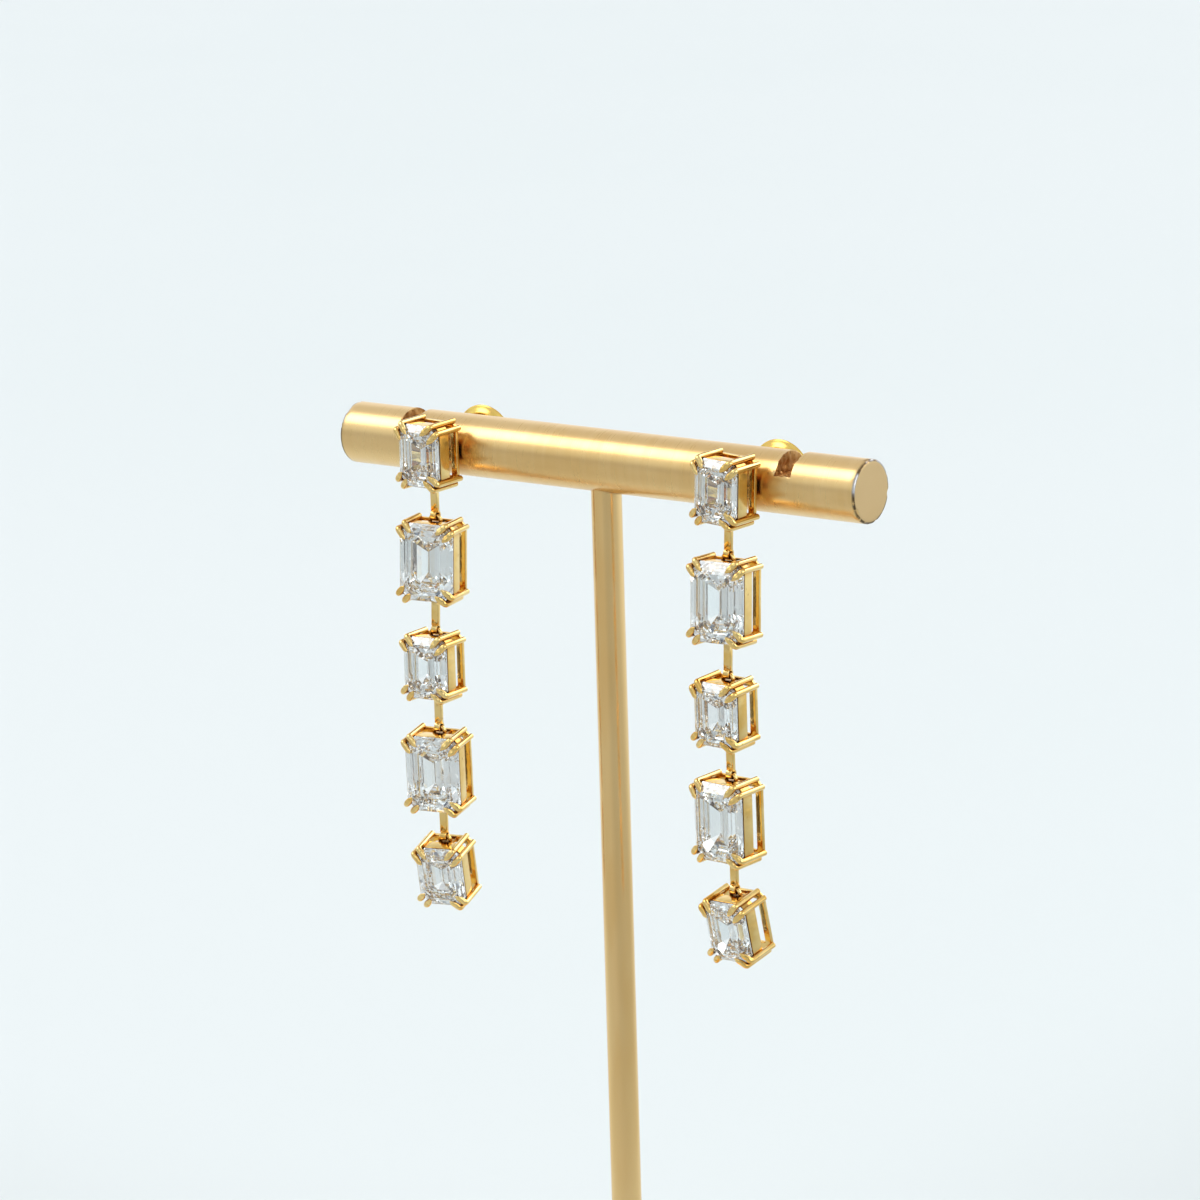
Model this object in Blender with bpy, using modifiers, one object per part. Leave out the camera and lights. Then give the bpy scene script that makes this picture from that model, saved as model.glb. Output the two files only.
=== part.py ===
"""A pair of dangle earrings on a T-bar stand, in metres, with +Z up and -Y to the front.

Each earring is a line of five step-cut stones in open claw baskets. Every basket carries a strap
below it that ends in an eye, and the next basket hangs in that eye by the arch on its top.
The first basket has a post, which goes through a hole in the bar and into a butterfly clutch.
The origin is the middle of the base's underside.
"""

import math
from typing import NamedTuple

import bmesh
import bpy
from mathutils import Euler, Matrix, Vector

MM = 0.001

# Stand
BAR_LENGTH = 59.7 * MM
BAR_RADIUS = 3.0 * MM
BAR_RIM = 0.12 * MM
BAR_AXIS_HEIGHT = 100.0 * MM
GROOVE_FROM_MIDDLE = 21.95 * MM
GROOVE_WIDTH = 1.86 * MM
GROOVE_DEPTH = 1.9 * MM
STEM_RADIUS = 1.47 * MM
STEM_DEPTH_IN_BAR = 1.5 * MM
METAL_UNDER_STEM = 1.5 * MM
BASE_RADIUS = 30.0 * MM
BASE_THICKNESS = 4.0 * MM
BASE_EDGE = 0.8 * MM
SOCKET_GAP = 0.05 * MM

# Stones, step cut with cut corners
SMALL_WIDTH = 4.86 * MM
SMALL_HEIGHT = 6.12 * MM
SMALL_CORNER = 1.04 * MM
SMALL_CROWN = 0.69 * MM
SMALL_PAVILION = 2.1 * MM
LARGE_WIDTH = 5.62 * MM
LARGE_HEIGHT = 7.64 * MM
LARGE_CORNER = 1.06 * MM
LARGE_CROWN = 0.78 * MM
LARGE_PAVILION = 2.4 * MM
GIRDLE = 0.12 * MM
TABLE_SHARE = 0.62
STONE_GAP = 0.08 * MM

# Baskets, measured backwards from the middle of the stone's girdle
ROD_RADIUS = 0.28 * MM
ROD_OUTSIDE_EDGE = 0.05 * MM
CLAW_REACH = 1.18 * MM
ROD_BEHIND_FRAME = 0.12 * MM
RAIL_BEHIND_GIRDLE = 0.22 * MM
RAIL_WALL = 0.6 * MM
RAIL_INSIDE_EDGE = 0.04 * MM
RAIL_CORNER = 0.55 * MM
RAIL_DEPTH = 1.22 * MM
KEEL_CLEARANCE = 0.16 * MM
FRAME_DEPTH = 0.45 * MM
FRAME_WALL = 0.72 * MM

# Links
STRAP_WIDTH = 0.78 * MM
STRAP_THICKNESS = 0.48 * MM
HINGE_BELOW_STONE = 3.15 * MM
HINGE_ABOVE_STONE = 0.5 * MM
ARCH_WIRE_RADIUS = 0.15 * MM
EYE_THICKNESS = 0.36 * MM
EYE_WALL = 0.24 * MM
EYE_PLAY = 0.13 * MM
EYE_SIDE_PLAY = 0.22 * MM
EYE_HOLE_RADIUS = ARCH_WIRE_RADIUS + EYE_PLAY
EYE_RADIUS = EYE_HOLE_RADIUS + EYE_WALL
ARCH_RADIUS = ARCH_WIRE_RADIUS + EYE_THICKNESS / 2 + EYE_SIDE_PLAY
BRIDGE_HEIGHT = 0.35 * MM
BRIDGE_INSIDE_EDGE = 0.2 * MM
BRIDGE_SHOULDER = 0.06 * MM

# Where each earring's first stone stands along the bar and above its axis
RIGHT_ALONG_BAR = 16.95 * MM
RIGHT_ABOVE_AXIS = -0.2 * MM
LEFT_ALONG_BAR = -17.5 * MM
LEFT_ABOVE_AXIS = -0.15 * MM

# Post and clutch
STUD_GAP = 0.2 * MM
POST_RADIUS = 0.4 * MM
POST_PAST_CLUTCH = 0.9 * MM
POST_BELOW_MIDDLE = 0.35 * MM
POST_CLEARANCE = 0.25 * MM
POST_BAR_HEIGHT = 1.1 * MM
CLUTCH_RADIUS = 3.6 * MM
CLUTCH_THICKNESS = 0.4 * MM
CLUTCH_GAP = 0.3 * MM
CLUTCH_RIM = 0.1 * MM
ROLL_RADIUS = 0.9 * MM
ROLL_LENGTH = 3.6 * MM
ROLL_GRIP_GAP = 0.1 * MM

# How far neighbouring shapes reach into each other before they are fused
WELD = 0.1 * MM

BASE_SIDES = 48
BAR_SIDES = 36
ROUND_SIDES = 24
SMALL_SIDES = 12
ARCH_STEPS = 8
EDGE_SEGMENTS = 2


class Hang(NamedTuple):
    """How one setting hangs in the photograph, in degrees: pitch brings its top forward,
    yaw turns its front towards +X, and roll leans its top towards +X."""

    pitch: float
    yaw: float
    roll: float


class Earring(NamedTuple):
    """Where an earring's first stone stands along the bar and above its axis, and how all five hang."""

    name: str
    along_bar: float
    above_axis: float
    hangs: tuple


EARRINGS = (
    Earring(
        "right",
        RIGHT_ALONG_BAR,
        RIGHT_ABOVE_AXIS,
        (
            Hang(0.5, -3.0, 3.0),
            Hang(-3.6, 4.5, -0.4),
            Hang(2.2, -1.8, 1.1),
            Hang(1.2, -3.9, 0.2),
            Hang(11.5, -4.4, -2.0),
        ),
    ),
    Earring(
        "left",
        LEFT_ALONG_BAR,
        LEFT_ABOVE_AXIS,
        (
            Hang(1.0, -1.5, 0.6),
            Hang(-0.6, 12.8, 1.8),
            Hang(-1.3, 5.6, -0.7),
            Hang(3.7, 14.3, 0.9),
            Hang(11.3, 13.8, -0.5),
        ),
    ),
)


class Tier(NamedTuple):
    """One row of facets ends this share of the way in, at this share of the depth."""

    inwards: float
    deep: float


CROWN_TIERS = (Tier(0.38, 0.46), Tier(0.7, 0.79), Tier(1.0, 1.0))
PAVILION_TIERS = (Tier(0.3, 0.4), Tier(0.62, 0.74), Tier(1.0, 1.0))


class ClawPoint(NamedTuple):
    """A point of a claw's bend: how far in it lies as a share of the reach, its thickness as a share
    of the rod's, and its height as a share of the height that just clears the crown there."""

    inwards: float
    thickness: float
    lift: float


CLAW_BEND = (
    ClawPoint(0.0, 1.0, 0.25),
    ClawPoint(0.1, 1.0, 0.88),
    ClawPoint(0.42, 0.8, 1.05),
    ClawPoint(0.72, 0.58, 1.0),
    ClawPoint(1.0, 0.24, 1.0),
)


class Kind:
    """The sizes of a small or a large setting. Both have their frame as far back as the deeper
    stone needs, so that the line of baskets is equally deep from end to end."""

    def __init__(self, width, height, corner, crown, pavilion):
        self.half_width = width / 2
        self.half_height = height / 2
        self.corner = corner
        self.crown = crown
        self.pavilion = pavilion
        self.border = self.half_width * (1 - TABLE_SHARE)
        self.rail_front = GIRDLE / 2 + RAIL_BEHIND_GIRDLE
        self.rail_back = self.rail_front + RAIL_DEPTH
        deepest = max(SMALL_PAVILION, LARGE_PAVILION)
        self.frame_front = GIRDLE / 2 + deepest + KEEL_CLEARANCE
        self.frame_back = self.frame_front + FRAME_DEPTH
        self.rod_rear = self.frame_back + ROD_BEHIND_FRAME
        self.link_plane = (self.rail_back + self.frame_front) / 2
        rod_from_cut = ROD_RADIUS + STONE_GAP
        self.rod_from_corner = corner + ROD_OUTSIDE_EDGE - math.sqrt(2) * rod_from_cut

    def rail_lip(self):
        """The rail's thickness at its front, where it clears the first row of pavilion facets."""
        first = PAVILION_TIERS[0]
        slope = first.inwards * self.half_width / (first.deep * self.pavilion)
        return slope * RAIL_BEHIND_GIRDLE - STONE_GAP - RAIL_INSIDE_EDGE

    def claw_height(self, inwards, radius):
        """How far in front of the girdle's middle a claw of this radius runs, at this distance in
        from its rod, so that it clears the crown: the crown's height there, the claw's radius
        measured up from the slope, and the gap."""
        inset = max(inwards - ROD_RADIUS - STONE_GAP, 0.0)
        near, height = Tier(0.0, 0.0), self.crown
        for tier in CROWN_TIERS:
            if inset <= tier.inwards * self.border:
                share = (inset / self.border - near.inwards) / (tier.inwards - near.inwards)
                height = self.crown * (near.deep + share * (tier.deep - near.deep))
                break
            near = tier
        run, rise = CROWN_TIERS[0].inwards * self.border, CROWN_TIERS[0].deep * self.crown
        return GIRDLE / 2 + height + radius * math.hypot(run, rise) / run + STONE_GAP


SMALL = Kind(SMALL_WIDTH, SMALL_HEIGHT, SMALL_CORNER, SMALL_CROWN, SMALL_PAVILION)
LARGE = Kind(LARGE_WIDTH, LARGE_HEIGHT, LARGE_CORNER, LARGE_CROWN, LARGE_PAVILION)
KINDS = (SMALL, LARGE, SMALL, LARGE, SMALL)

for old in list(bpy.data.objects):
    bpy.data.objects.remove(old, do_unlink=True)

parts = bpy.data.collections.new("dangle_earrings_on_stand")
cutters = bpy.data.collections.new("cutters")
bpy.context.scene.collection.children.link(parts)
bpy.context.scene.collection.children.link(cutters)


def material(name, colour, roughness, metallic):
    made = bpy.data.materials.new(name)
    made.use_nodes = True
    shader = made.node_tree.nodes["Principled BSDF"]
    shader.inputs["Base Color"].default_value = (*colour, 1.0)
    shader.inputs["Roughness"].default_value = roughness
    shader.inputs["Metallic"].default_value = metallic
    return made


satin_gold = material("satin_gold", (0.78, 0.57, 0.29), 0.33, 1.0)
base_gold = material("base_gold", (0.76, 0.56, 0.3), 0.38, 1.0)
polished_gold = material("polished_gold", (0.83, 0.6, 0.27), 0.16, 1.0)
clutch_gold = material("clutch_gold", (0.8, 0.59, 0.3), 0.24, 1.0)
diamond = material("diamond", (0.9, 0.93, 0.96), 0.03, 0.0)


def move_to(collection, thing):
    for holder in list(thing.users_collection):
        holder.objects.unlink(thing)
    collection.objects.link(thing)
    return thing


def helper(thing):
    """Marks a cutter, or a shape that is about to be fused, so that it is not part of the model."""
    move_to(cutters, thing)
    thing.hide_render = True
    thing.display_type = "WIRE"
    return thing


def place_along(axis):
    """A turn that lays a cylinder, which stands along Z, along X or Y."""
    turns = {
        "X": Matrix.Rotation(math.pi / 2, 4, "Y"),
        "Y": Matrix.Rotation(-math.pi / 2, 4, "X"),
        "Z": Matrix.Identity(4),
    }
    return turns[axis]


def cylinder(name, radius, start, end, axis="Z", sides=SMALL_SIDES):
    """A capped cylinder from one end point to the other, which lie on a line along the axis."""
    start, end = Vector(start), Vector(end)
    bpy.ops.mesh.primitive_cylinder_add(vertices=sides, radius=radius, depth=(end - start).length)
    thing = bpy.context.object
    thing.name = name
    thing.data.transform(Matrix.Translation((start + end) / 2) @ place_along(axis))
    return helper(thing)


def box(name, low, high):
    """A box between its lowest and its highest corner."""
    low, high = Vector(low), Vector(high)
    bpy.ops.mesh.primitive_cube_add(size=1.0)
    thing = bpy.context.object
    thing.name = name
    thing.data.transform(
        Matrix.Translation((low + high) / 2) @ Matrix.Diagonal((*(high - low), 1.0))
    )
    return helper(thing)


def wire(name, points, radius, shares=None):
    """A six-sided round wire through the points, as a closed mesh."""
    curve = bpy.data.curves.new(name, "CURVE")
    curve.dimensions = "3D"
    curve.bevel_depth = radius
    curve.bevel_resolution = 1
    curve.use_fill_caps = True
    spline = curve.splines.new("POLY")
    spline.points.add(len(points) - 1)
    for index, point in enumerate(points):
        spline.points[index].co = (*point, 1.0)
        spline.points[index].radius = shares[index] if shares else 1.0
    guide = bpy.data.objects.new(name, curve)
    cutters.objects.link(guide)
    bpy.context.view_layer.update()
    graph = bpy.context.evaluated_depsgraph_get()
    mesh = bpy.data.meshes.new_from_object(guide.evaluated_get(graph))
    bpy.data.objects.remove(guide)
    weld = bmesh.new()
    weld.from_mesh(mesh)
    bmesh.ops.remove_doubles(weld, verts=weld.verts, dist=1e-4 * MM)
    bmesh.ops.recalc_face_normals(weld, faces=weld.faces)
    weld.to_mesh(mesh)
    weld.free()
    thing = bpy.data.objects.new(name, mesh)
    cutters.objects.link(thing)
    return helper(thing)


def octagon(half_width, half_height, corner, depth):
    """The eight corners, anticlockwise from the front, of an upright rectangle with cut corners."""
    long_side = half_height - corner
    short_side = half_width - corner
    return [
        Vector((half_width, depth, -long_side)),
        Vector((half_width, depth, long_side)),
        Vector((short_side, depth, half_height)),
        Vector((-short_side, depth, half_height)),
        Vector((-half_width, depth, long_side)),
        Vector((-half_width, depth, -long_side)),
        Vector((-short_side, depth, -half_height)),
        Vector((short_side, depth, -half_height)),
    ]


def loft(name, rings, closed):
    """A skin through rings of eight points. A closed loft is a tube whose last ring meets its first;
    an open one is capped at both ends."""
    form = bmesh.new()
    rows = [[form.verts.new(point) for point in ring] for ring in rings]
    pairs = list(zip(rows, rows[1:]))
    if closed:
        pairs.append((rows[-1], rows[0]))
    else:
        form.faces.new(rows[0])
        form.faces.new(rows[-1])
    for near, far in pairs:
        for corner in range(8):
            after = (corner + 1) % 8
            form.faces.new((near[corner], near[after], far[after], far[corner]))
    bmesh.ops.remove_doubles(form, verts=form.verts, dist=1e-4 * MM)
    bmesh.ops.recalc_face_normals(form, faces=form.faces)
    mesh = bpy.data.meshes.new(name)
    form.to_mesh(mesh)
    form.free()
    return mesh


def step_cut(name, kind):
    """A step-cut stone: the girdle's outline shrinks in three tiers to the table in front,
    and in three tiers to a keel behind, whose length is the height less the width."""
    girdle_front = octagon(kind.half_width, kind.half_height, kind.corner, -GIRDLE / 2)
    girdle_back = octagon(kind.half_width, kind.half_height, kind.corner, GIRDLE / 2)
    table = octagon(
        kind.half_width - kind.border,
        kind.half_height - kind.border,
        kind.corner - kind.border * (2 - math.sqrt(2)),
        0.0,
    )
    keel_half = kind.half_height - kind.half_width
    keel = [Vector((0.0, 0.0, math.copysign(keel_half, point.z))) for point in girdle_back]

    def between(outer, inner, tier, depth):
        ring = [a.lerp(b, tier.inwards) for a, b in zip(outer, inner)]
        for point in ring:
            point.y = depth
        return ring

    crown = [
        between(girdle_front, table, tier, -GIRDLE / 2 - kind.crown * tier.deep)
        for tier in CROWN_TIERS
    ]
    pavilion = [
        between(girdle_back, keel, tier, GIRDLE / 2 + kind.pavilion * tier.deep)
        for tier in PAVILION_TIERS[:-1]
    ]
    last = between(girdle_back, keel, PAVILION_TIERS[-1], GIRDLE / 2 + kind.pavilion)
    rows = [*reversed(crown), girdle_front, girdle_back, *pavilion]
    form = bmesh.new()
    made = [[form.verts.new(point) for point in ring] for ring in rows]
    form.faces.new(made[0])
    for near, far in zip(made, made[1:]):
        for corner in range(8):
            after = (corner + 1) % 8
            form.faces.new((near[corner], near[after], far[after], far[corner]))
    low, high = form.verts.new(last[0]), form.verts.new(last[1])
    ends = [high if point.z > 0 else low for point in last]
    for corner in range(8):
        after = (corner + 1) % 8
        face = [made[-1][corner], made[-1][after]]
        face += [ends[after]] if ends[after] is ends[corner] else [ends[after], ends[corner]]
        form.faces.new(face)
    bmesh.ops.recalc_face_normals(form, faces=form.faces)
    mesh = bpy.data.meshes.new(name)
    form.to_mesh(mesh)
    form.free()
    return mesh


def ring_frame(name, outer, walls, depths):
    """A frame of eight sides round an opening: walls are its thickness at its front and back,
    and depths are where those lie."""
    half_width, half_height, corner = outer

    def inside(wall, depth):
        return octagon(
            half_width - wall, half_height - wall, corner - wall * (2 - math.sqrt(2)), depth
        )

    rings = [
        octagon(half_width, half_height, corner, depths[0]),
        octagon(half_width, half_height, corner, depths[1]),
        inside(walls[1], depths[1]),
        inside(walls[0], depths[0]),
    ]
    thing = bpy.data.objects.new(name, loft(name, rings, closed=True))
    cutters.objects.link(thing)
    return helper(thing)


def claw_rods(kind):
    """Eight rods, two at each corner, that run from behind the frame to the front and bend
    over the stone's cut corner along its diagonal."""
    from_corner = kind.rod_from_corner
    side = Vector((kind.half_width + ROD_OUTSIDE_EDGE, 0.0, kind.half_height - from_corner))
    end = Vector((kind.half_width - from_corner, 0.0, kind.half_height + ROD_OUTSIDE_EDGE))
    rods = []
    for place in (side, end):
        for across in (1, -1):
            for up in (1, -1):
                foot = Vector((place.x * across, 0.0, place.z * up))
                inwards = Vector((-across, 0.0, -up)) * (CLAW_REACH / math.sqrt(2))
                points = [foot + Vector((0.0, kind.rod_rear, 0.0))]
                shares = [1.0]
                for bend in CLAW_BEND:
                    radius = ROD_RADIUS * bend.thickness
                    height = bend.lift * kind.claw_height(CLAW_REACH * bend.inwards, radius)
                    points.append(foot + inwards * bend.inwards - Vector((0.0, height, 0.0)))
                    shares.append(bend.thickness)
                rods.append(wire(f"claw_rod_{len(rods)}", points, ROD_RADIUS, shares))
    return rods


def bridge(name, kind, up, half_across):
    """A short bar that joins the rail to the frame, inside the basket's upper or lower edge."""
    outer = kind.half_height - BRIDGE_INSIDE_EDGE
    heights = sorted((up * outer, up * (outer - BRIDGE_HEIGHT)))
    return box(
        name,
        (-half_across, kind.rail_back - WELD, heights[0]),
        (half_across, kind.frame_front + WELD, heights[1]),
    )


def strap_and_eye(kind):
    """The strap under a basket and the eye at its foot, whose hole runs along X."""
    foot = Vector((0.0, kind.link_plane, -(kind.half_height + HINGE_BELOW_STONE)))
    root = -(kind.half_height - BRIDGE_INSIDE_EDGE - BRIDGE_HEIGHT / 2)
    neck = (EYE_RADIUS + EYE_HOLE_RADIUS) / 2
    half = Vector((STRAP_WIDTH / 2, STRAP_THICKNESS / 2, 0.0))
    strap = box("strap", foot - half + Vector((0, 0, neck)), (half.x, foot.y + half.y, root))
    side = Vector((EYE_THICKNESS / 2, 0.0, 0.0))
    eye = cylinder("eye", EYE_RADIUS, foot - side, foot + side, "X")
    hole = cylinder("eye_hole", EYE_HOLE_RADIUS, foot - 2 * side, foot + 2 * side, "X")
    cut(eye, [hole])
    shoulder = bridge("lower_bridge", kind, -1, STRAP_WIDTH / 2 + BRIDGE_SHOULDER)
    return [shoulder, strap, baked(eye)]


def arch(kind):
    """The arch on a basket's top: a half circle of wire on two short legs, with its top in the hinge."""
    centre_height = kind.half_height + HINGE_ABOVE_STONE - ARCH_RADIUS
    leg_foot = kind.half_height - BRIDGE_INSIDE_EDGE - BRIDGE_HEIGHT / 2
    turns = [math.pi * step / ARCH_STEPS for step in range(ARCH_STEPS + 1)]
    points = [Vector((ARCH_RADIUS, kind.link_plane, leg_foot))]
    for turn in turns:
        height = centre_height + ARCH_RADIUS * math.sin(turn)
        points.append(Vector((ARCH_RADIUS * math.cos(turn), kind.link_plane, height)))
    points.append(Vector((-ARCH_RADIUS, kind.link_plane, leg_foot)))
    shoulder = ARCH_RADIUS + ARCH_WIRE_RADIUS + BRIDGE_SHOULDER
    return [bridge("upper_bridge", kind, 1, shoulder), wire("arch", points, ARCH_WIRE_RADIUS)]


def post(kind):
    """The post behind the first basket, and the bar across its frame that carries it."""
    reach = kind.half_width - RAIL_INSIDE_EDGE - FRAME_WALL / 2
    carrier = box(
        "post_bar",
        (-reach, kind.frame_front + WELD, -POST_BELOW_MIDDLE - POST_BAR_HEIGHT / 2),
        (reach, kind.frame_back - WELD / 2, -POST_BELOW_MIDDLE + POST_BAR_HEIGHT / 2),
    )
    start = Vector((0.0, kind.frame_back - FRAME_DEPTH / 2, -POST_BELOW_MIDDLE))
    end = Vector((0.0, post_end(kind), -POST_BELOW_MIDDLE))
    return [carrier, cylinder("post", POST_RADIUS, start, end, "Y")]


def bar_axis_behind(kind):
    """How far the bar's axis lies behind the girdle of the first stone."""
    return kind.frame_back + STUD_GAP + BAR_RADIUS


def clutch_front(kind):
    return bar_axis_behind(kind) + BAR_RADIUS + CLUTCH_GAP


def post_end(kind):
    return clutch_front(kind) + CLUTCH_THICKNESS + 2 * ROLL_RADIUS + POST_PAST_CLUTCH


def cut(thing, tools):
    for tool in tools:
        modifier = thing.modifiers.new("cut_" + tool.name, "BOOLEAN")
        modifier.operation = "DIFFERENCE"
        modifier.solver = "EXACT"
        modifier.object = tool
    return thing


def baked(thing):
    """The object with its modifiers applied."""
    bpy.context.view_layer.update()
    graph = bpy.context.evaluated_depsgraph_get()
    mesh = bpy.data.meshes.new_from_object(thing.evaluated_get(graph))
    thing.modifiers.clear()
    thing.data = mesh
    return thing


def fused(name, solids, finish):
    """One mesh from overlapping closed solids, which are removed."""
    body, *others = solids
    for other in others:
        modifier = body.modifiers.new("join_" + other.name, "BOOLEAN")
        modifier.operation = "UNION"
        modifier.solver = "EXACT"
        modifier.object = other
    mesh = baked(body).data.copy()
    mesh.name = name
    mesh.materials.clear()
    mesh.materials.append(finish)
    for solid in solids:
        bpy.data.objects.remove(solid)
    smooth(mesh)
    return mesh


def smooth(mesh):
    mesh.shade_smooth()
    mesh.set_sharp_from_angle(angle=math.radians(35))


def basket_mesh(name, kind, has_arch, has_strap, has_post):
    """A basket: a rail under the stone's girdle, a frame behind it and the claw rods that join them."""
    outer = (
        kind.half_width - RAIL_INSIDE_EDGE,
        kind.half_height - RAIL_INSIDE_EDGE,
        RAIL_CORNER,
    )
    solids = [
        ring_frame("rail", outer, (kind.rail_lip(), RAIL_WALL), (kind.rail_front, kind.rail_back)),
        ring_frame("frame", outer, (FRAME_WALL, FRAME_WALL), (kind.frame_front, kind.frame_back)),
    ]
    solids += claw_rods(kind)
    if has_arch:
        solids += arch(kind)
    if has_strap:
        solids += strap_and_eye(kind)
    if has_post:
        solids += post(kind)
    return fused(name, solids, polished_gold)


def clutch_mesh(name, kind):
    """A butterfly clutch: a thin round disc with two rolls behind it that grip the post."""
    front = clutch_front(kind)
    back = front + CLUTCH_THICKNESS
    centre = -POST_BELOW_MIDDLE
    disc = cylinder(
        "disc", CLUTCH_RADIUS, (0, front, centre), (0, back, centre), "Y", ROUND_SIDES
    )
    rim = disc.modifiers.new("rim", "BEVEL")
    rim.width = CLUTCH_RIM
    rim.segments = 1
    rim.limit_method = "ANGLE"
    bore = cylinder(
        "bore",
        POST_RADIUS + ROLL_GRIP_GAP,
        (0, front - CLUTCH_THICKNESS, centre),
        (0, post_end(kind), centre),
        "Y",
    )
    from_post = POST_RADIUS + ROLL_GRIP_GAP + ROLL_RADIUS
    rolls = []
    for up in (1, -1):
        height = centre + up * from_post
        depth = back + ROLL_RADIUS - WELD
        ends = [Vector((across * ROLL_LENGTH / 2, depth, height)) for across in (-1, 1)]
        rolls.append(cylinder(f"roll_{up}", ROLL_RADIUS, *ends, "X"))
    cut(baked(disc), [bore])
    return fused(name, [baked(disc), *rolls], clutch_gold)


def part(name, mesh, finish=None):
    """One named piece of the model."""
    thing = bpy.data.objects.new(name, mesh)
    parts.objects.link(thing)
    if finish:
        mesh.materials.clear()
        mesh.materials.append(finish)
    return thing


def turned_piece(thing, name, finish, edge):
    """Takes a cylinder into the model under its name, with its rims rounded."""
    move_to(parts, thing)
    thing.name = name
    thing.hide_render = False
    thing.display_type = "TEXTURED"
    thing.data.materials.clear()
    thing.data.materials.append(finish)
    smooth(thing.data)
    if edge:
        modifier = thing.modifiers.new("edge", "BEVEL")
        modifier.width = edge
        modifier.segments = EDGE_SEGMENTS
        modifier.limit_method = "ANGLE"
    return thing


def turn_of(hang):
    """A setting's turn: it pitches about X, then rolls about Y, then yaws about Z."""
    return Euler(
        (math.radians(hang.pitch), math.radians(hang.roll), math.radians(hang.yaw)), "XYZ"
    ).to_matrix().to_4x4()


def stud_place(earring):
    """The girdle's middle of the first stone, placed so that its post goes through the bar."""
    turn = turn_of(earring.hangs[0])
    at_bar = turn @ Vector((0.0, bar_axis_behind(SMALL), 0.0))
    place = Vector((earring.along_bar, 0.0, BAR_AXIS_HEIGHT + earring.above_axis))
    place.y = -at_bar.y
    return Matrix.Translation(place) @ turn


def settings_of(earring):
    """Each setting's place: the next one hangs with its arch's top in the eye above it.
    A setting's place is its hinge, and the first one's is the middle of its girdle."""
    places = [stud_place(earring)]
    eye = places[0] @ eye_below(SMALL)
    for index in range(1, len(KINDS)):
        turn = turn_of(earring.hangs[index])
        places.append(Matrix.Translation(eye) @ turn)
        middle = places[-1] @ Matrix.Translation(middle_below_hinge(KINDS[index]))
        eye = middle @ eye_below(KINDS[index])
    return places


def eye_below(kind):
    return Vector((0.0, kind.link_plane, -(kind.half_height + HINGE_BELOW_STONE)))


def middle_below_hinge(kind):
    return Vector((0.0, -kind.link_plane, -(kind.half_height + HINGE_ABOVE_STONE)))


def make_stand():
    axis = BAR_AXIS_HEIGHT
    half = BAR_LENGTH / 2
    bar = cylinder("bar", BAR_RADIUS, (-half, 0, axis), (half, 0, axis), "X", BAR_SIDES)
    turned_piece(bar, "stand_bar", satin_gold, BAR_RIM)
    tools = []
    for across in (1, -1):
        middle = across * GROOVE_FROM_MIDDLE
        floor = axis + BAR_RADIUS - GROOVE_DEPTH
        low = (middle - GROOVE_WIDTH / 2, -2 * BAR_RADIUS, floor)
        high = (middle + GROOVE_WIDTH / 2, 2 * BAR_RADIUS, axis + 2 * BAR_RADIUS)
        tools.append(box(f"groove_{across}", low, high))
    for earring in EARRINGS:
        start = (0, bar_axis_behind(SMALL) - 2 * BAR_RADIUS, -POST_BELOW_MIDDLE)
        end = (0, bar_axis_behind(SMALL) + 2 * BAR_RADIUS, -POST_BELOW_MIDDLE)
        hole = cylinder(
            f"post_hole_{earring.name}", POST_RADIUS + POST_CLEARANCE, start, end, "Y"
        )
        hole.data.transform(stud_place(earring))
        tools.append(hole)
    stem_top = axis - BAR_RADIUS + STEM_DEPTH_IN_BAR
    stem_bottom = METAL_UNDER_STEM
    top_socket = cylinder(
        "stem_socket_in_bar",
        STEM_RADIUS + SOCKET_GAP,
        (0, 0, axis - 2 * BAR_RADIUS),
        (0, 0, stem_top),
        sides=ROUND_SIDES,
    )
    cut(bar, [*tools, top_socket])
    stem = cylinder(
        "stem",
        STEM_RADIUS,
        (0, 0, stem_bottom + SOCKET_GAP),
        (0, 0, stem_top - SOCKET_GAP),
        sides=ROUND_SIDES,
    )
    turned_piece(stem, "stand_stem", satin_gold, 0.0)
    base = cylinder("base", BASE_RADIUS, (0, 0, 0), (0, 0, BASE_THICKNESS), sides=BASE_SIDES)
    turned_piece(base, "stand_base", base_gold, BASE_EDGE)
    foot_socket = cylinder(
        "stem_socket_in_base",
        STEM_RADIUS + SOCKET_GAP,
        (0, 0, stem_bottom),
        (0, 0, 2 * BASE_THICKNESS),
        sides=ROUND_SIDES,
    )
    cut(base, [foot_socket])


def make_earring(earring, baskets, stones, clutch):
    """Five settings, each under an empty that stands in its hinge, with X along the hinge's axis."""
    places = settings_of(earring)
    above, above_place = None, Matrix.Identity(4)
    for index, place in enumerate(places):
        number = index + 1
        hinge = bpy.data.objects.new(f"{earring.name}_hinge_{number}", None)
        hinge.empty_display_size = 2 * EYE_RADIUS
        parts.objects.link(hinge)
        hinge.parent = above
        hinge.matrix_basis = above_place.inverted() @ place
        offset = middle_below_hinge(KINDS[index]) if index else Vector()
        basket = part(f"{earring.name}_basket_{number}", baskets[index])
        stone = part(f"{earring.name}_stone_{number}", stones[KINDS[index]])
        for piece in (basket, stone):
            piece.parent = hinge
            piece.location = offset
        above, above_place = hinge, place
    holder = part(f"{earring.name}_clutch", clutch)
    holder.matrix_basis = places[0]


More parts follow.
